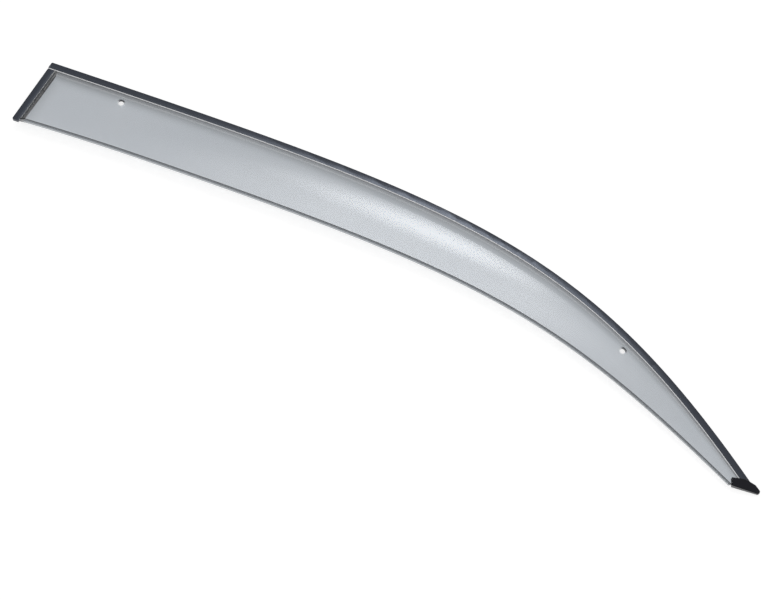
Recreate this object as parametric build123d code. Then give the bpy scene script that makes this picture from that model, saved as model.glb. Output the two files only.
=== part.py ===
from build123d import *
import os
from math import cos, radians, sin, tan

# Upper edge in plan: +X runs forward along the door, and the blade lies on the -Y side
rail_length = 1027.2     # rear corner to the front end of the upper edge
rail_fall = 236.7        # drop of the upper edge along the windscreen pillar
roof_handle = 578.2      # how far the roof stretch stays straight
pillar_share = 0.98      # share of the drop taken up by the straight end of the pillar stretch
pillar_angle = 38.2      # slope of the upper edge at the front end, degrees
flange_tilt = 10.0       # the flange rises towards the blade, as the door's skin bulges, degrees
rear_slant = 9.4         # lean of the rear edge, degrees

# Blade across its width, at the rear end and at the front tip
rear_width = 94.0
tip_width = 20.5
rear_flare = 3.4         # the blade is this much wider at the rear corner than further forward
flare_run = 160.0        # the flare dies out this far from the rear corner
rear_step_run = 17.0     # S-shaped step between the flange and the blade
tip_step_run = 6.0
rear_step_rise = 7.2
tip_step_rise = 2.9
rear_lip_depth = 6.5
tip_lip_depth = 5.0
taper_power = 4.1        # the blade keeps its width over the rear half, then narrows
foot_slope = 12.0        # slope at the foot of the step, degrees
foot_ease = 0.25         # softness of the bend at the step's foot, as a share of its run
crown_ease = 0.6         # softness of the bend at the step's crown
blade_fall = 5.5         # slope of the crowned blade where it meets the lip, degrees
wall = 2.5
lip_radius = 3.2
lip_bevel = 0.7
flange_wall = 2.2
rib_width = 1.3          # clear rib that the trim butts against
rib_proud = 0.2
rib_bevel = 0.4

# Rear end wall
wall_draft = 32.0        # lean of the rear end wall, degrees
ridge_radius = 2.2       # rounding between the rear end wall and the blade

# Countersunk holes for the channel clips
hole_radius = 3.3
sink_radius = 6.2
sink_depth = 1.4
rear_hole_inset = 27.0   # from the outer edge
front_hole_inset = 24.0
rear_hole_at = 107.0     # along the upper edge from the rear corner
front_hole_at = 242.0    # along the upper edge from its front end

# Trim strips
trim_width = 9.2
trim_thickness = 1.8
trim_leg = 1.4           # leg over the flange's outer edge
trim_corner = 1.3        # rounded outer corner
trim_crown = 0.25        # rise of the trim's face over its width
bond_gap = 0.1           # adhesive film between bonded pieces
trim_end_radius = 3.0    # rounded outer corner at the free end of each strip

# Mounting tape
tape_width = 6.5
tape_thickness = 1.2
tape_inset = 2.0
tape_joint = 1.0         # gap between the two tapes at the corner
tape_end_at = 45.0       # the upper tape stops this far from the front end
rear_tape_end = 4.0      # the rear tape stops this far from the lip

# Front tip cap, along +X over the blade's cut end
cap_back = 35.4          # upper corner of the mouth behind the upper edge's front end
cap_side = 6.5           # upper corner of the mouth beside the upper edge's front end
cap_length = 38.6
cap_depth = 9.8          # mouth, from its upper to its lower corner
cap_mouth_slant = 3.6    # lower corner of the mouth in front of its upper corner
cap_shoulder_at = 17.0   # the upper side is widest here, where the trim ends on it
cap_shoulder_rise = 4.0
cap_brow_at = 31.0       # the upper side turns down to the nose here
cap_brow_rise = 1.3
cap_nose_drop = 3.8
cap_nose_rise = 1.5      # the lower side rises this far to the nose
cap_mouth_height = 12.0
cap_nose_height = 6.0
cap_nose_radius = 2.6
cap_round = 1.2          # rounding of the cap's upper edges
tongue_margin = 1.5      # the blade's cut end stands this far above the mouth's lower corner
tongue_angle = 23.5      # slope of the cut end, degrees
socket_gap = 0.15        # room for the cap's adhesive round the tongue

# Levels over the tape's outer face, square to the flange
under = tape_thickness + bond_gap
foot_level = under + wall
seat = under + flange_wall
trim_under = seat + bond_gap
trim_top = trim_under + trim_thickness
rib_top = trim_top + rib_proud

# Places across the flange from its outer edge
flange_edge = trim_leg + bond_gap
rib_outer = trim_width + bond_gap
rib_inner = rib_outer + rib_width
rib_middle = (rib_outer + rib_inner) / 2

# The part rests on the outer edge of its tape
tilt = radians(flange_tilt)
rest_drop = tape_inset * sin(tilt)
reach = rear_width + rail_fall

pillar = Vector(cos(radians(pillar_angle)), -sin(radians(pillar_angle)))
pillar_handle = pillar_share * rail_fall / sin(radians(pillar_angle))
front_end = Vector(rail_length, -rail_fall)
rail = Bezier((0, 0), (roof_handle, 0), front_end - pillar * pillar_handle, front_end)
run_out = (rear_width * tan(radians(rear_slant)) + 2 * trim_width) / rail.length
stations = [-run_out] + [i / 12 for i in range(13)]
uphill = Vector(1, tan(radians(foot_slope)))


def section_plane(s):
    """Plane square to the upper edge: x runs inward along the flange, y outward from the door."""
    on_rail = min(max(s, 0), 1)
    along = rail % on_rail
    point = rail @ on_rail + along * (s - on_rail) * rail.length
    inward = Vector(along.Y, -along.X)
    across = inward * cos(tilt) + Vector(0, 0, sin(tilt))
    return Plane(point - Vector(0, 0, rest_drop), x_dir=across, z_dir=-along)


def tapered(s, at_rear, at_tip):
    """A size that follows the blade's narrowing along the upper edge."""
    share = max(section_plane(s).origin.X / rail_length, 0) ** taper_power
    return at_rear + (at_tip - at_rear) * share


def blade_points(s, inset):
    """Corner points of the blade's profile, moved inside by inset square to the surface."""
    fall = radians(blade_fall)
    flare = rear_flare * max(1 - section_plane(s).origin.X / flare_run, 0) ** 2
    width = tapered(s, rear_width - rear_flare, tip_width) + flare
    run = tapered(s, rear_step_run, tip_step_run)
    crown = Vector(rib_inner + run, foot_level + tapered(s, rear_step_rise, tip_step_rise))
    turn_x = width - lip_radius * (1 - sin(fall))
    turn = Vector(turn_x, crown.Y - (turn_x - crown.X) / 2 * tan(fall))
    lip_level = turn.Y - lip_radius * cos(fall)
    lip_end = turn.Y - tapered(s, rear_lip_depth, tip_lip_depth)
    crown = crown - Vector(0, inset)
    turn = turn - Vector(sin(fall), cos(fall)) * inset
    middle = Vector(turn.X - (crown.Y - turn.Y) / tan(fall), crown.Y)
    return run, crown, middle, turn, Vector(width - inset, lip_level), lip_end


def blade_curves(s, foot, start, inset):
    """Step, crowned face and rounded lip corner of the blade, from the start of the step to the lip."""
    run, crown, middle, turn, lip, lip_end = blade_points(s, inset)
    step = Bezier(start, foot + uphill * foot_ease * run, crown - Vector(crown_ease * run, 0), crown)
    face = Bezier(crown, middle, turn)
    slope = (cos(radians(blade_fall)), -sin(radians(blade_fall)))
    corner = TangentArc(turn, lip, tangent=slope)
    return [step, face, corner], lip, lip_end


def outer_section(s, room=0.0):
    """Solid outline under the outer surface without the rib, down to the flange's inner face."""
    foot = Vector(rib_inner, foot_level + room)
    start = foot - uphill * rib_width / 2
    curves, lip, lip_end = blade_curves(s, foot, start, -room)
    edge = flange_edge - room
    floor = under - room
    flange = Polyline((edge, floor), (edge, seat + room), (start.X, seat + room), start)
    closing = Polyline(lip, (lip.X, floor), (edge, floor))
    return section_plane(s) * make_face([flange, *curves, closing])


def cavity_section(s):
    """Open space behind the blade and below its lip."""
    foot = Vector(rib_inner, under)
    start = foot - uphill * wall
    curves, lip, lip_end = blade_curves(s, foot, start, wall)
    outside = lip.X + 2 * wall
    floor = under - 2 * wall
    closing = Polyline(lip, (lip.X, lip_end), (outside, lip_end), (outside, floor), (start.X, floor), start)
    return section_plane(s) * make_face([*curves, closing])


def rib_profile(room=0.0):
    """Rib with a bevelled top, rooted in the flange."""
    outer = rib_outer - room
    inner = rib_inner + room
    top = rib_top + room
    root = (under + seat) / 2
    return make_face(Polyline(
        (outer, root),
        (outer, top - rib_bevel),
        (outer + rib_bevel, top),
        (inner - rib_bevel, top),
        (inner, top - rib_bevel),
        (inner, root),
        close=True,
    ))


def trim_profile():
    """Trim strip as a full block, with a rounded outer corner and a slightly crowned face."""
    shoulder = trim_top - trim_crown
    side = Line((0, under), (0, shoulder - trim_corner))
    corner = TangentArc((0, shoulder - trim_corner), (trim_corner, shoulder), tangent=(0, 1))
    middle = Vector((trim_corner + trim_width) / 2, trim_top)
    face = ThreePointArc((trim_corner, shoulder), middle, (trim_width, shoulder))
    closing = Polyline((trim_width, shoulder), (trim_width, under), (0, under))
    return make_face([side, corner, face, closing])


def rectangle(low_x, low_y, high_x, high_y):
    """Face between two corners."""
    return Pos((low_x + high_x) / 2, (low_y + high_y) / 2) * Rectangle(high_x - low_x, high_y - low_y)


def along_edge(profile, first=-run_out, last=1):
    """Loft of a fixed profile along the upper edge."""
    inner = [s for s in stations if first < s < last]
    return loft([section_plane(s) * profile for s in [first, *inner, last]])


# The rear end: x runs forward from the rear edge, y outward from the door, z down the rear edge
corner_plane = section_plane(0)
lean = radians(rear_slant)
forward = Vector(1, 0, 0) * cos(lean) + corner_plane.x_dir * sin(lean)
rear_plane = Plane(corner_plane.origin, x_dir=forward, z_dir=forward.cross(corner_plane.y_dir))
flange_plane = Plane(corner_plane.origin, x_dir=(1, 0, 0), z_dir=corner_plane.y_dir)
door_line = Vector(1, 0)
down_rear = Vector(-sin(lean), -cos(lean))


def along_rear(profile):
    """A profile run down the rear edge, past both ends of the blade."""
    return rear_plane * Pos(0, 0, -rear_width) * extrude(profile, 3 * rear_width)


def behind(distance):
    """Everything to the rear of a line parallel to the rear edge."""
    return along_rear(rectangle(-reach, -reach, distance, reach))


def outside_corner(corner, first, second):
    """Waste outside the rounded corner between two edges of the rear flange."""
    corner = corner - (first + second) * bond_gap
    to_tangent = trim_end_radius / tan(radians(first.get_angle(second)) / 2)
    start = corner + first * to_tangent
    end = corner + second * to_tangent
    outside = corner - (first + second) * trim_end_radius
    waste = make_face([TangentArc(start, end, tangent=-first), Line(end, outside), Line(outside, start)])
    return flange_plane * extrude(waste, reach, both=True)


def across_rear(low, high):
    """Everything at the rear end between two distances from the upper edge."""
    block = extrude(rectangle(low, -reach, high, reach), reach, both=True)
    return corner_plane * block


# Blade: outer form, cleared behind the rear end wall, then hollowed
draft = tan(radians(wall_draft))
rear_end = blade_points(-rear_width * tan(lean) / rail.length, 0)[4].X
rear_clearing = make_face(Polyline(
    (-reach, seat),
    (rib_inner - (foot_level - seat) * draft, seat),
    (rib_inner + reach * draft, foot_level + reach),
    (-reach, foot_level + reach),
    close=True,
))
inner_foot = rib_inner + wall / cos(radians(wall_draft))
rear_solid = make_face(Polyline(
    (-reach, foot_level - reach),
    (inner_foot - reach * draft, foot_level - reach),
    (inner_foot + reach * draft, foot_level + reach),
    (-reach, foot_level + reach),
    close=True,
))
outer = loft([outer_section(s) for s in stations])
outer -= along_rear(rear_clearing) & across_rear((rib_middle + rib_inner) / 2, 2 * reach)
on_end_wall = rear_plane.from_local_coords((rib_inner + wall * draft, foot_level + wall, rear_width / 2))
end_wall = outer.faces().sort_by_distance(on_end_wall)[0]
ridge = end_wall.edges().filter_by(GeomType.LINE, reverse=True).sort_by(SortBy.LENGTH)[-1]
outer = fillet(ridge, ridge_radius)
cavity = loft([cavity_section(s) for s in stations]) - along_rear(rear_solid)
rear_rib = along_rear(rib_profile()) & across_rear(rib_middle, rear_end - lip_bevel)
visor_blade = outer - cavity + along_edge(rib_profile()) + rear_rib - behind(flange_edge)

# Bevelled edges along the end of the lip
run, crown, middle, turn, lip, lip_end = blade_points(0.5, 0)
lip_corners = [section_plane(0.5).from_local_coords((x, lip_end)) for x in (lip.X, lip.X - wall)]
lip_edges = [visor_blade.edges().sort_by_distance(corner)[0] for corner in lip_corners]
visor_blade = chamfer(lip_edges, lip_bevel)

# Countersunk holes square to the flange
beyond = 2 * sink_radius - hole_radius
sink = Cone(hole_radius, beyond, 2 * sink_depth, align=(Align.CENTER, Align.CENTER, Align.MIN))
for s, inset in (
    (rear_hole_at / rail.length, rear_hole_inset),
    (1 - front_hole_at / rail.length, front_hole_inset),
):
    crown = blade_points(s, 0)[1]
    hole = section_plane(s) * Pos(inset, crown.Y - sink_depth) * Rot(-90, 0, 0)
    visor_blade -= hole * Cylinder(hole_radius, reach)
    visor_blade -= hole * sink

# Front tip cap: a wedge with a rounded nose, and a socket for the blade's cut end
mouth = Vector(rail_length - cap_back, cap_side - rail_fall)
lower_corner = mouth + Vector(cap_mouth_slant, -cap_depth)
cut_end = Pos(*lower_corner) * Pos(0, tongue_margin) * Rot(0, 0, tongue_angle) * Box(
    2 * reach, reach, 2 * reach, align=(Align.CENTER, Align.MAX, Align.CENTER)
)
upper_side = [
    (0, 0),
    (cap_shoulder_at, cap_shoulder_rise),
    (cap_brow_at, cap_brow_rise),
    (cap_length, -cap_nose_drop),
]
lower_side = [
    (cap_length, cap_nose_rise - cap_depth),
    (cap_mouth_slant, -cap_depth),
]
cap_plan = make_face(Polyline(*upper_side, *lower_side, close=True))
cap_plan = fillet(cap_plan.vertices().group_by(Axis.X)[-1], cap_nose_radius)
cap_side_view = make_face(Polyline(
    (0, 0),
    (cap_length, 0),
    (cap_length, cap_nose_height),
    (0, cap_mouth_height),
    close=True,
))
cap_form = extrude(cap_plan, cap_mouth_height) & extrude(Plane.XZ * cap_side_view, 2 * cap_depth, both=True)
cap_form = fillet(cap_form.faces().sort_by(Axis.Z)[-1].edges(), cap_round)
cap_form = Pos(*mouth) * cap_form
socket = loft([outer_section(s, socket_gap) for s in stations]) + along_edge(rib_profile(socket_gap))
front_tip_cap = cap_form - (socket - Pos(0, -socket_gap) * cut_end)
visor_blade -= cut_end

# Trim strips, each wrapped over its flange's edge and closed at its free end, with a rounded outer corner
seat_block = rectangle(trim_leg, under - trim_thickness, rib_inner, trim_under)
below_cap = [(reach, -cap_nose_drop), (reach, -reach), (0, -reach)]
cap_room = extrude(make_face(Polyline(*upper_side, *below_cap, close=True)), reach, both=True)
cap_room = Pos(*mouth) * Pos(-bond_gap, bond_gap) * cap_room
upper_trim = along_edge(trim_profile()) - behind(0) - cap_room
upper_trim -= along_edge(seat_block) - behind(trim_leg)
upper_trim -= outside_corner(Vector(0, 0), door_line, down_rear)
foot_end = rear_end + bond_gap
rear_trim = along_rear(trim_profile()) & across_rear(rib_inner + bond_gap, foot_end + trim_leg)
rear_trim -= along_rear(seat_block) & across_rear(0, foot_end)
rear_trim -= outside_corner(down_rear * (foot_end + trim_leg) / cos(lean), door_line, -down_rear)

# Foam mounting tape under both flanges
tape_block = rectangle(tape_inset, 0, tape_inset + tape_width, tape_thickness)
upper_tape = along_edge(tape_block, last=1 - tape_end_at / rail.length) - behind(tape_inset)
rear_tape_start = tape_inset + tape_width + tape_joint
rear_tape = along_rear(tape_block) & across_rear(rear_tape_start, rear_end - rear_tape_end)

pieces = {
    "visor_blade": visor_blade,
    "upper_trim": upper_trim,
    "rear_trim": rear_trim,
    "front_tip_cap": front_tip_cap,
    "upper_tape": upper_tape,
    "rear_tape": rear_tape,
}

# The origin is under the middle of the part, on the surface it rests on
box = Compound([piece.solid() for piece in pieces.values()]).bounding_box()
os.makedirs("parts", exist_ok=True)
for name, piece in pieces.items():
    placed = Pos(-box.center().X, -box.center().Y, -box.min.Z) * piece
    export_step(placed, f"parts/{name}.step")
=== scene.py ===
from math import cos, pi, radians, sin, tan

import bmesh
import bpy
import numpy as np
from mathutils import Matrix, Vector


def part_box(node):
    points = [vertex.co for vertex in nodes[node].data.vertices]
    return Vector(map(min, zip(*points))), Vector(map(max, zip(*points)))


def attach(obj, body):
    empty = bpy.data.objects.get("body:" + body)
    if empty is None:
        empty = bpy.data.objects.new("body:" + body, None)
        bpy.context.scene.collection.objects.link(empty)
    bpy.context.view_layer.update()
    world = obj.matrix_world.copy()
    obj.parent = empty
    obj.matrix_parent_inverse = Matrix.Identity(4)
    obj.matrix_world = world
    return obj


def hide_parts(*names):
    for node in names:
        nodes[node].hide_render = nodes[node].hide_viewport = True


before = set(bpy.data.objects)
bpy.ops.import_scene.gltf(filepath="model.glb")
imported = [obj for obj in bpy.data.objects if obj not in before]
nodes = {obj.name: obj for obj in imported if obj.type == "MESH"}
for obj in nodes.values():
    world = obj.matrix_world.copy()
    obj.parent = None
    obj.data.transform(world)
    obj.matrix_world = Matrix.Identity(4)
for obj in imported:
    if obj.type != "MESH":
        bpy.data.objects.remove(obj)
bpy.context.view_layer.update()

scene = bpy.context.scene
scene.view_settings.view_transform = "Standard"

# Upper edge of the blade in plan, in millimetres, as the solid has it
rail_length = 1027.2        # rear corner to the front end
rail_fall = 236.7           # drop along the windscreen pillar
roof_handle = 578.2         # how far the roof stretch stays straight
pillar = radians(38.2)      # slope at the front end
pillar_share = 0.98         # share of the drop taken up by the straight end of the pillar stretch
tilt = radians(10.0)        # rise of the flange towards the blade
lean = radians(9.4)         # lean of the rear edge

# Blade across its width, at the rear end and at the front tip
rear_width, tip_width = 94.0, 20.5
rear_step_run, tip_step_run = 17.0, 6.0
rear_step_rise, tip_step_rise = 7.2, 2.9
rear_lip_depth, tip_lip_depth = 6.5, 5.0
taper_power = 4.1           # the blade keeps its width over the rear half, then narrows
rear_flare = 3.4            # extra width at the rear corner
flare_run = 160.0           # the flare dies out this far from the rear corner
foot_slope = radians(12.0)  # slope at the foot of the step
foot_ease = 0.25            # softness of the bend at the step's foot, as a share of its run
crown_ease = 0.6            # softness of the bend at the step's crown
fall = radians(5.5)         # slope of the blade where it meets the lip
wall = 2.5
lip_radius = 3.2
lip_edge = 1.0              # rounding of the lip's end

# Places across the flange from its outer edge, and levels over the tape's outer face
tape_inset, flange_edge, rib_outer, rib_inner = 2.0, 1.5, 9.3, 10.6
under, seat, foot, rib_shoulder = 1.3, 3.5, 3.8, 4.95
rib_middle = (rib_outer + rib_inner) / 2
rib_radius = (rib_inner - rib_outer) / 2
rest_drop = tape_inset * sin(tilt)

# Rear end wall, and the cut end under the cap
draft = radians(32.0)
ridge_blend = 3.0           # rounding between the wall and the blade, outside and inside
blend_rise = 1.2            # a lower wall gets a rounding of this many times its height at most
wall_run = 9.0              # stretch behind the rear rib that holds the wall and its ridge
square_run = 300.0          # the sections turn from the rear edge's lean to square over this length
cut_point, cut_angle = (995.4, -238.5), radians(23.5)

# Countersunk holes
hole_radius, sink_radius, sink_depth = 3.3, 6.2, 1.4
rear_hole_at, rear_hole_inset = 107.0, 27.0
front_hole_at, front_hole_inset = 242.0, 24.0
hole_sides = 72
hole_reach = 20.0           # the drill's length below the countersink

# Painted shade on the blade, from 0 for none to 1 for darkest, where shadow and dark refraction fall below
# the trim, beside the rear wall, along the lip and in the holes
step_shade = 0.58            # in the step
step_share = 0.3            # ... up to this share of the width
step_shade_most = 0.7        # share of it that the foot of the step keeps
corner_shade = 0.27          # added to the step towards the rear corner
corner_run = 270.0
beside_wall_shade = 0.37            # beside the rear wall
beside_wall_shade_run = 24.0
wall_shade_most, rear_rib_shade = 0.78, 0.5
wall_end, wall_fade = 7.0, 4.0
line_at = 0.18              # dark line along the lip, as a share of its bend
line_half, line_fade = 0.05, 0.06
crescent_shade = 1.5         # in the holes, on the side of the flange

# Milky haze on the blade, from 0 for polished to 1 for milky, put on the rib, the rear wall and the lip as a
# painted highlight that the lamps light up
wall_haze = 0.45
rear_rib_share = 0.35       # the rear rib clears up over this share of the width
rear_rib_least = 0.2
lip_haze = 0.4              # on the lip's edge and the lower part of its bend
lip_haze_from = 0.5

# Upper edge of the blade, by its length
handle = pillar_share * rail_fall / sin(pillar)
corners = np.array([
    (0, 0),
    (roof_handle, 0),
    (rail_length - handle * cos(pillar), handle * sin(pillar) - rail_fall),
    (rail_length, -rail_fall),
])
steps = np.linspace(0, 1, 4001)[:, None]
fine = (
    corners[0] * (1 - steps) ** 3
    + corners[1] * 3 * steps * (1 - steps) ** 2
    + corners[2] * 3 * steps ** 2 * (1 - steps)
    + corners[3] * steps ** 3
)
lengths = np.concatenate([[0], np.cumsum(np.linalg.norm(np.diff(fine, axis=0), axis=1))])
tangents = np.gradient(fine, lengths, axis=0)
edge_length = lengths[-1]


def on_edge(u):
    """Points of the upper edge and its directions at distances u from the rear corner."""
    held = np.clip(u, 0, edge_length)
    along = np.stack([np.interp(held, lengths, tangents[:, i]) for i in (0, 1)], -1)
    point = np.stack([np.interp(held, lengths, fine[:, i]) for i in (0, 1)], -1)
    return point + along * (u - held)[..., None], along


def place(u, p, q):
    """Metres in construction axes of points p across the flange and q out of it."""
    point, along = on_edge(u)
    across = p * cos(tilt) - q * sin(tilt)
    x = point[..., 0] + along[..., 1] * across
    y = point[..., 1] - along[..., 0] * across
    z = x * 0 + p * sin(tilt) + q * cos(tilt) - rest_drop
    return np.stack([x, y, z], -1) / 1000


def bezier(points, t):
    """Bezier curve through control points that may change along the edge."""
    while len(points) > 1:
        points = [a + (b - a) * t for a, b in zip(points, points[1:])]
    return points[0]


def profile(u, part, t, edge):
    """A point of the blade's section: p across the flange and q out of it. edge rounds the lip's end."""
    forward = on_edge(u)[0][..., 0]
    share = np.maximum(forward / rail_length, 0) ** taper_power
    waist = rear_width - rear_flare
    flare = rear_flare * np.maximum(1 - forward / flare_run, 0) ** 2
    width = waist + (tip_width - waist) * share + flare
    run = rear_step_run + (tip_step_run - rear_step_run) * share
    crown_q = foot + rear_step_rise + (tip_step_rise - rear_step_rise) * share
    crown_p = rib_inner + run
    turn_p = width - lip_radius * (1 - sin(fall))
    turn_q = crown_q - (turn_p - crown_p) / 2 * tan(fall)
    level = turn_q - lip_radius * cos(fall)
    end = turn_q - rear_lip_depth - (tip_lip_depth - rear_lip_depth) * share
    inset = wall if part.startswith("inner") else 0
    crown_q = crown_q - inset
    turn_p = turn_p - sin(fall) * inset
    turn_q = turn_q - cos(fall) * inset
    if part in ("step", "inner_step"):
        back, level = (wall, under) if inset else (rib_radius, foot)
        ahead = foot_ease * run
        across = [rib_inner - back, rib_inner + ahead, crown_p - crown_ease * run, crown_p]
        rise = [level - back * tan(foot_slope), level + ahead * tan(foot_slope), crown_q, crown_q]
        # Start where the curve leaves the rib, or the flange's inner face
        low, high = np.zeros_like(u), np.ones_like(u)
        for _ in range(30):
            middle = (low + high) / 2
            past = bezier(rise, middle) > under if inset else bezier(across, middle) > rib_inner
            low, high = np.where(past, low, middle), np.where(past, middle, high)
        t = low + (1 - low) * t
        return bezier(across, t), bezier(rise, t)
    if part in ("face", "inner_face"):
        middle_p = turn_p - (crown_q - turn_q) / tan(fall)
        return bezier([crown_p, middle_p, turn_p], t), bezier([crown_q, crown_q, turn_q], t)
    if part in ("bend", "inner_bend"):
        angle = (pi / 2 - fall) * (1 - t)
        radius = lip_radius - inset
        return width - lip_radius + radius * cos(angle), level + radius * sin(angle)
    if part == "edge":
        return width - edge * (1 - cos(t * pi / 2)), end + edge * (1 - sin(t * pi / 2))
    if part == "inner_end":
        return width - edge, end
    return width - wall + edge * (1 - sin(t * pi / 2)), end + edge * (1 - cos(t * pi / 2))


def shares(count):
    """Shares of a curve, closer together towards its ends, without its start."""
    return (1 - np.cos(np.linspace(0, 1, count + 1)[1:] * pi)) / 2


# Rows of the mesh round the section, from the rib over the outer face and back inside
rows = [("step", 0)]
for part, count in (("step", 22), ("face", 22), ("bend", 12)):
    rows += [(part, t) for t in shares(count)]
rows += [("edge", t) for t in np.linspace(0, 1, 6)]
rows += [("inner_end", 0)]
rows += [("inner_edge", t) for t in np.linspace(0, 1, 6)]
rows += [("inner_bend", 1 - t) for t in np.linspace(0, 1, 8)]
rows += [(part, 1 - t) for part in ("inner_face", "inner_step") for t in shares(22)]


def new_piece(name, made):
    """An object from a finished bmesh."""
    mesh = bpy.data.meshes.new(name)
    made.to_mesh(mesh)
    made.free()
    thing = bpy.data.objects.new(name, mesh)
    scene.collection.objects.link(thing)
    return thing


def build_blade():
    """The blade and the shift to its place: its section carried along the upper edge, with the rear wall."""
    turns = np.linspace(pi, 0, 9)
    bead_p = rib_middle + rib_radius * np.cos(turns)
    bead_q = rib_shoulder + rib_radius * np.sin(turns)

    # Columns along the edge, and the levels that the rear wall keeps the section under
    wall_x = rib_inner + np.linspace(0, wall_run, 46)[1:]
    rear_x = np.concatenate([[flange_edge, rib_outer], bead_p, [rib_inner], wall_x])
    wall_top = foot + (wall_x - rib_inner) / tan(draft)
    rear_top = np.concatenate([[seat, seat], bead_q, [foot], wall_top])
    rear_under = foot + (rear_x - rib_inner - wall / cos(draft)) / tan(draft)
    start = rear_x[-1] / cos(lean)
    rest = start + (edge_length - start) * np.linspace(0, 1, 181)[1:] ** 1.25
    columns = np.concatenate([rear_x / cos(lean), rest])
    no_limit = np.full(len(rest), 1e3)
    rear_top = np.concatenate([rear_top, no_limit])
    rear_under = np.concatenate([rear_under, no_limit])
    ease = np.clip((columns - start) / square_run, 0, 1)
    slant = tan(lean) * (1 - ease * ease * (3 - 2 * ease))
    from_rear_rib = columns * cos(lean) - rib_inner
    edge = lip_edge * np.clip(from_rear_rib / wall_run, 0, 1)

    # Painted shade and painted highlight haze by column
    clear = np.zeros(len(columns))
    on_rear_rib = clear.copy()
    on_rear_rib[2:2 + len(bead_p)] = 1
    on_rear_wall = np.clip((wall_end - from_rear_rib) / wall_fade, 0, 1)
    wall_shade = np.where(from_rear_rib > 0, wall_shade_most, rear_rib_shade) * on_rear_wall
    rear_shade = beside_wall_shade * np.clip(1 - from_rear_rib / beside_wall_shade_run, 0, 1) ** 2
    rear_shade = np.maximum(rear_shade, wall_shade)
    step_shade_depth = step_shade + corner_shade * np.clip(1 - columns / corner_run, 0, 1)

    def fixed(p, q):
        return place(columns - slant * p, p, q)

    grid = [
        fixed(flange_edge, under),
        fixed(flange_edge, seat),
        fixed(rib_outer, seat),
        *[fixed(p, q) for p, q in zip(bead_p, bead_q)],
    ]
    # No painted shade on the flange and the bead; the bead is all milky haze, as a painted highlight
    painted_shade = [clear] * len(grid)
    highlight_haze = [clear] * 3 + [clear + 1] * len(bead_p)
    width = profile(columns, "bend", 1.0, edge)[0]
    for part, t in rows:
        u = columns
        for _ in range(3):
            p, q = profile(u, part, t, edge)
            u = columns - slant * p
        inner = part.startswith("inner")
        limit, base = (rear_under, under) if inner else (rear_top, foot)
        lower = np.minimum(q, limit)
        blend = np.clip(blend_rise * (lower - base), 1e-6, ridge_blend)
        q = lower - np.maximum(blend - np.abs(q - limit), 0) ** 2 / (4 * blend)
        if inner:
            q = np.maximum(q, under)
        grid.append(place(u, p, q))

        # Painted shade: darker at the foot of the step, towards the rear corner, beside the rear wall and in
        # a line along the lip's bend
        from_rib = (p - rib_inner) / (width - rib_inner)
        shade = np.minimum(np.clip(1 - from_rib / step_share, 0, 1) ** 2, step_shade_most)
        shade = np.maximum(step_shade_depth * shade, rear_shade)
        if part in ("bend", "inner_bend"):
            shade = clear + np.clip((line_at + line_half - abs(t - line_at)) / line_fade, 0, 1)
        painted_shade.append(shade)
        # Painted highlight: milky haze on the rear rib, the rear wall and the lip's edge
        haze = clear
        if not inner:
            rib_haze = on_rear_rib * np.clip(1 - from_rib / rear_rib_share, rear_rib_least, 1)
            haze = np.maximum(rib_haze, wall_haze * on_rear_wall)
        if part == "edge" or part == "bend" and t > lip_haze_from:
            haze = np.maximum(haze, lip_haze)
        highlight_haze.append(haze)

    grid = np.array(grid)
    count, across = grid.shape[:2]
    made = bmesh.new()
    layers = made.verts.layers.float
    for name in ("painted_shade", "highlight_haze"):
        layers.new(name)
    looks = [layers[name] for name in ("painted_shade", "highlight_haze")]
    points = [[made.verts.new(point) for point in row] for row in grid]
    for row, *amounts in zip(points, painted_shade, highlight_haze):
        for vertex, *values in zip(row, *amounts):
            for layer, value in zip(looks, values):
                vertex[layer] = value
    for i in range(count):
        first, second = points[i], points[(i + 1) % count]
        for j in range(across - 1):
            made.faces.new((first[j], first[j + 1], second[j + 1], second[j]))
    made.faces.new([row[0] for row in points])
    made.faces.new([row[-1] for row in reversed(points)])
    bmesh.ops.remove_doubles(made, verts=made.verts, dist=2e-6)
    bmesh.ops.dissolve_degenerate(made, edges=made.edges, dist=1e-6)

    # Cut the front end for the cap
    bmesh.ops.bisect_plane(
        made,
        geom=made.verts[:] + made.edges[:] + made.faces[:],
        plane_co=Vector((*cut_point, 0)) / 1000,
        plane_no=Vector((-sin(cut_angle), cos(cut_angle), 0)),
        clear_inner=True,
    )
    bmesh.ops.holes_fill(made, edges=[e for e in made.edges if e.is_boundary], sides=0)
    bmesh.ops.recalc_face_normals(made, faces=made.faces)

    # Move it from the construction axes to its solid
    low = np.min([v.co for v in made.verts], axis=0)
    high = np.max([v.co for v in made.verts], axis=0)
    cad_low, cad_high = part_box("visor_blade")
    shift = Vector((cad_low.x - low[0], cad_high.y - high[1], 0))
    bmesh.ops.translate(made, verts=made.verts, vec=shift)
    return new_piece("blade", made), shift


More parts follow.
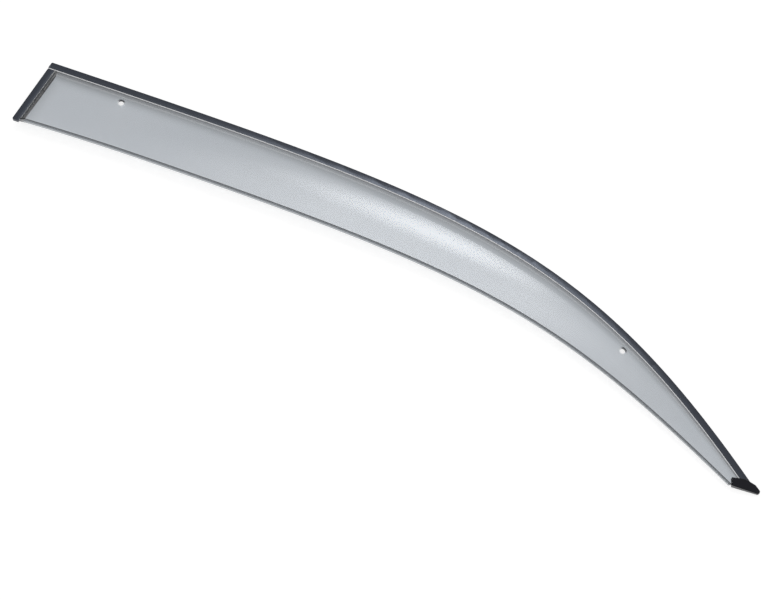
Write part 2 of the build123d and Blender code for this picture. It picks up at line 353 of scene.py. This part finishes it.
def drill(blade, shift, u, inset):
    """A countersunk hole square to the flange, with painted shade on the side of the flange."""
    at = np.array([u])
    crown = profile(at, "step", 1.0, lip_edge)[1][0]
    along = on_edge(at)[1][0]
    axis = Vector((-along[1] * sin(tilt), along[0] * sin(tilt), cos(tilt)))
    centre = Vector(place(at, inset, crown - sink_depth)[0]) + shift
    turn = Matrix.Translation(centre) @ axis.to_track_quat("Z", "X").to_matrix().to_4x4()
    widening = sink_radius - hole_radius
    outline = [(hole_radius, -hole_reach)]
    outline += [(hole_radius + share * widening, share * sink_depth) for share in (0, 0.5, 2)]
    made = bmesh.new()
    rings = []
    for radius, height in outline:
        angles = np.arange(hole_sides) * 2 * pi / hole_sides
        points = [Vector((radius * cos(a), radius * sin(a), height)) / 1000 for a in angles]
        rings.append([made.verts.new(turn @ point) for point in points])
    made.faces.new(reversed(rings[0]))
    made.faces.new(rings[-1])
    for lower, upper in zip(rings, rings[1:]):
        for i in range(hole_sides):
            j = (i + 1) % hole_sides
            made.faces.new((lower[i], lower[j], upper[j], upper[i]))
    cutter = new_piece("cutter", made)
    cutting = blade.modifiers.new("hole", "BOOLEAN")
    cutting.object = cutter
    cutting.solver = "EXACT"
    solid = blade.evaluated_get(bpy.context.evaluated_depsgraph_get())
    mesh = bpy.data.meshes.new_from_object(solid)
    blade.modifiers.clear()
    blade.data = mesh
    bpy.data.objects.remove(cutter)

    # Paint shade on the ring at the hole and the one halfway up the countersink, on the side of the flange
    to_hole = turn.inverted()
    to_flange = Vector((-along[1], along[0], 0))
    close = 0.02
    for vertex, painted_shade in zip(mesh.vertices, mesh.attributes["painted_shade"].data):
        local = to_hole @ vertex.co * 1000
        radius, height = min(outline[1:3], key=lambda ring: abs(ring[1] - local.z))
        if abs(local.z - height) < close and abs(local.xy.length - radius) < close:
            facing = (vertex.co - centre).normalized().dot(to_flange)
            painted_shade.value = max(crescent_shade * facing, 0)


blade, shift = build_blade()
drill(blade, shift, rear_hole_at, rear_hole_inset)
drill(blade, shift, edge_length - front_hole_at, front_hole_inset)
blade.data.shade_smooth()
blade.data.set_sharp_from_angle(angle=radians(24))
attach(blade, "root")
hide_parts("visor_blade")


def new_material(name):
    """A node material and its Principled shader."""
    material = bpy.data.materials.new(name)
    material.use_nodes = True
    return material, material.node_tree, material.node_tree.nodes["Principled BSDF"]


def add(tree, kind, **settings):
    """A node with its inputs or properties set by name."""
    node = tree.nodes.new(kind)
    for key, value in settings.items():
        if key in node.inputs:
            node.inputs[key].default_value = value
        else:
            setattr(node, key, value)
    return node


def noise(tree, scale, detail=3.0, roughness=0.5, stretch=(1, 1, 1)):
    """Noise in the part's own frame, so that it stays on the surface in every view."""
    coordinates = add(tree, "ShaderNodeTexCoord")
    mapping = add(tree, "ShaderNodeMapping", Scale=stretch)
    texture = add(tree, "ShaderNodeTexNoise", Scale=scale, Detail=detail, Roughness=roughness)
    tree.links.new(coordinates.outputs["Object"], mapping.inputs["Vector"])
    tree.links.new(mapping.outputs["Vector"], texture.inputs["Vector"])
    return texture.outputs["Fac"]


def spread(tree, value, low, high, start=0.3, end=0.7, curve="LINEAR"):
    """A value between start and end, carried to the range from low to high."""
    node = add(tree, "ShaderNodeMapRange", interpolation_type=curve)
    node.inputs["From Min"].default_value = start
    node.inputs["From Max"].default_value = end
    node.inputs["To Min"].default_value = low
    node.inputs["To Max"].default_value = high
    tree.links.new(value, node.inputs["Value"])
    return node.outputs["Result"]


def blend_colours(tree, value, first, second):
    """Two colours mixed by a value from a texture."""
    ramp = add(tree, "ShaderNodeValToRGB")
    for element, position, colour in zip(ramp.color_ramp.elements, (0.32, 0.68), (first, second)):
        element.position = position
        element.color = (*colour, 1)
    tree.links.new(value, ramp.inputs["Fac"])
    return ramp.outputs["Color"]


def relief(tree, shader, value, strength, distance):
    """Bump from a texture."""
    bump = add(tree, "ShaderNodeBump", Strength=strength, Distance=distance)
    tree.links.new(value, bump.inputs["Height"])
    tree.links.new(bump.outputs["Normal"], shader.inputs["Normal"])


def show_both(tree, first, second):
    """Two shaders added up on a surface."""
    both = add(tree, "ShaderNodeAddShader")
    tree.links.new(first, both.inputs[0])
    tree.links.new(second, both.inputs[1])
    tree.links.new(both.outputs["Shader"], tree.nodes["Material Output"].inputs["Surface"])


def smoked_acrylic():
    """Polished clear plastic with a smoke colour in its depth, and the blade's painted shade and painted
    highlight haze on it.
    """
    material, tree, shader = new_material("smoked_acrylic")
    shader.inputs["IOR"].default_value = 1.49
    wear = noise(tree, 55, 4.0, 0.6, (0.35, 1, 1))
    colour = blend_colours(tree, noise(tree, 9, 2.0), (0.955, 0.965, 0.98), (0.985, 0.99, 1.0))
    # Painted shade from the blade's attribute darkens the base colour, and its painted highlight haze lowers
    # the transmission
    painted_shade = add(tree, "ShaderNodeAttribute", attribute_name="painted_shade")
    highlight_haze = add(tree, "ShaderNodeAttribute", attribute_name="highlight_haze")
    shaded_base = add(tree, "ShaderNodeVectorMath", operation="SCALE")
    tree.links.new(colour, shaded_base.inputs[0])
    tree.links.new(spread(tree, painted_shade.outputs["Fac"], 1.0, 0.08, 0, 1), shaded_base.inputs["Scale"])
    tree.links.new(shaded_base.outputs["Vector"], shader.inputs["Base Color"])
    clearness = spread(tree, highlight_haze.outputs["Fac"], 1.0, 0.2, 0, 1)
    tree.links.new(clearness, shader.inputs["Transmission Weight"])
    tree.links.new(spread(tree, wear, 0.015, 0.03), shader.inputs["Roughness"])
    relief(tree, shader, noise(tree, 26, 2.0), 0.004, 0.0004)
    depth = add(tree, "ShaderNodeVolumeAbsorption", Color=(0.31, 0.36, 0.41, 1), Density=350.0)
    tree.links.new(depth.outputs["Volume"], tree.nodes["Material Output"].inputs["Volume"])
    return material


def black_plastic(name, dark, pale, sheen, gloss, rough, grain, depth):
    """Black plastic with a fine grain and a patchy sheen."""
    material, tree, shader = new_material(name)
    shader.inputs["IOR"].default_value = 1.5
    shader.inputs["Specular IOR Level"].default_value = gloss
    shader.inputs["Specular Tint"].default_value = (*sheen, 1)
    colour = blend_colours(tree, noise(tree, 38, 4.0, 0.6), dark, pale)
    tree.links.new(colour, shader.inputs["Base Color"])
    tree.links.new(spread(tree, noise(tree, 160, 3.0), *rough), shader.inputs["Roughness"])
    relief(tree, shader, noise(tree, grain, 2.0), 0.35, depth)
    return material


def foam():
    """Dark closed-cell foam."""
    material, tree, shader = new_material("foam_tape")
    cells = add(tree, "ShaderNodeTexVoronoi", Scale=2600.0)
    coordinates = add(tree, "ShaderNodeTexCoord")
    tree.links.new(coordinates.outputs["Object"], cells.inputs["Vector"])
    distance = cells.outputs["Distance"]
    colour = blend_colours(tree, distance, (0.03, 0.03, 0.033), (0.075, 0.075, 0.08))
    tree.links.new(colour, shader.inputs["Base Color"])
    tree.links.new(spread(tree, noise(tree, 300), 0.75, 0.92), shader.inputs["Roughness"])
    relief(tree, shader, distance, 0.4, 0.0002)
    return material


acrylic = smoked_acrylic()
trim = black_plastic(
    "black_trim",
    dark=(0.0015, 0.002, 0.005),
    pale=(0.003, 0.004, 0.009),
    sheen=(0.76, 0.84, 1),
    gloss=0.9,
    rough=(0.2, 0.26),
    grain=900,
    depth=0.00001,
)
cap = black_plastic(
    "black_cap",
    dark=(0.001, 0.001, 0.002),
    pale=(0.003, 0.003, 0.005),
    sheen=(0.86, 0.88, 1),
    gloss=0.28,
    rough=(0.3, 0.4),
    grain=1700,
    depth=0.00004,
)
tape = foam()
for thing, material in (
    (blade, acrylic),
    (nodes["upper_trim"], trim),
    (nodes["rear_trim"], trim),
    (nodes["front_tip_cap"], cap),
    (nodes["upper_tape"], tape),
    (nodes["rear_tape"], tape),
):
    thing.data.materials.clear()
    thing.data.materials.append(material)


def shows_white(tree):
    """1 where the camera sees a surface directly, in a gloss or through clear plastic."""
    path = add(tree, "ShaderNodeLightPath")
    total = path.outputs["Is Camera Ray"]
    for name in ("Is Glossy Ray", "Is Transmission Ray"):
        either = add(tree, "ShaderNodeMath", operation="MAXIMUM")
        tree.links.new(total, either.inputs[0])
        tree.links.new(path.outputs[name], either.inputs[1])
        total = either.outputs["Value"]
    return total


# Pale floor just under the part, lifted to white for the eye while it keeps the shadow
floor_tone, floor_lift = 0.42, 0.76
bpy.ops.mesh.primitive_plane_add(size=60, location=(0, 0, -0.0003))
floor = bpy.context.object
floor.name = "floor"
material, tree, shader = new_material("floor_white")
tree.nodes.remove(shader)
paper = add(tree, "ShaderNodeBsdfDiffuse", Color=(floor_tone, floor_tone, floor_tone, 1))
lift = add(tree, "ShaderNodeEmission", Color=(1, 1, 1, 1))
level = add(tree, "ShaderNodeMath", operation="MULTIPLY")
level.inputs[1].default_value = floor_lift
tree.links.new(shows_white(tree), level.inputs[0])
tree.links.new(level.outputs["Value"], lift.inputs["Strength"])
show_both(tree, paper.outputs["BSDF"], lift.outputs["Emission"])
floor.data.materials.append(material)

# Light from all round, strongest overhead, with a white backdrop behind the floor
dome_low, dome_high = 0.3, 0.8
scene.world = bpy.data.worlds.new("studio")
scene.world.use_nodes = True
tree = scene.world.node_tree
sky = tree.nodes["Background"]
sky.inputs["Color"].default_value = (1, 1, 1, 1)
coordinates = add(tree, "ShaderNodeTexCoord")
height = add(tree, "ShaderNodeSeparateXYZ")
tree.links.new(coordinates.outputs["Generated"], height.inputs["Vector"])
dome = spread(tree, height.outputs["Z"], dome_low, dome_high, 0, 1, "SMOOTHSTEP")
path = add(tree, "ShaderNodeLightPath")
level = add(tree, "ShaderNodeMix")
factor, dimmer, backdrop = (level.inputs[i] for i in (0, 2, 3))
backdrop.default_value = 1.0
tree.links.new(path.outputs["Is Camera Ray"], factor)
tree.links.new(dome, dimmer)
tree.links.new(level.outputs[0], sky.inputs["Strength"])


def soft_panel(name, centre, width, height, softness, strength):
    """A lamp that fades out over the softness of its half size, and adds to the light behind it."""
    bpy.ops.mesh.primitive_plane_add(size=2)
    panel = bpy.context.object
    panel.name = name
    panel.scale = (width / 2, height / 2, 1)
    panel.location = centre
    panel.rotation_euler = Vector(centre).to_track_quat("Z", "Y").to_euler()
    panel.visible_camera = False
    panel.visible_shadow = False
    material, tree, shader = new_material(name)
    tree.nodes.remove(shader)
    spot = add(tree, "ShaderNodeTexCoord")
    fade = add(tree, "ShaderNodeTexGradient", gradient_type="SPHERICAL")
    glow = add(tree, "ShaderNodeEmission", Color=(1, 1, 1, 1))
    clear = add(tree, "ShaderNodeBsdfTransparent")
    tree.links.new(spot.outputs["Object"], fade.inputs["Vector"])
    level = spread(tree, fade.outputs["Fac"], 0, strength, 0, softness, "SMOOTHSTEP")
    tree.links.new(level, glow.inputs["Strength"])
    show_both(tree, glow.outputs["Emission"], clear.outputs["BSDF"])
    panel.data.materials.append(material)


soft_panel("key_panel", (-0.06, 1.549, 2.212), 1.25, 0.44, softness=1.0, strength=5.2)
soft_panel("wide_panel", (-0.041, 1.309, 2.362), 2.0, 1.2, softness=0.75, strength=3.0)

# Camera at the photograph's angle
azimuth = radians(19.51)
elevation = radians(74)
distance = 3.0
target = Vector((0.00625, -0.03599, 0))
picture_width = 771
focal_pixels = 2380
back = Vector((sin(azimuth) * cos(elevation), -cos(azimuth) * cos(elevation), sin(elevation)))
camera = bpy.data.objects.new("camera", bpy.data.cameras.new("camera"))
scene.collection.objects.link(camera)
camera.location = target + back * distance
camera.rotation_euler = (-back).to_track_quat("-Z", "Y").to_euler()
camera.data.sensor_width = 36.0
camera.data.lens = camera.data.sensor_width * focal_pixels / picture_width
scene.camera = camera
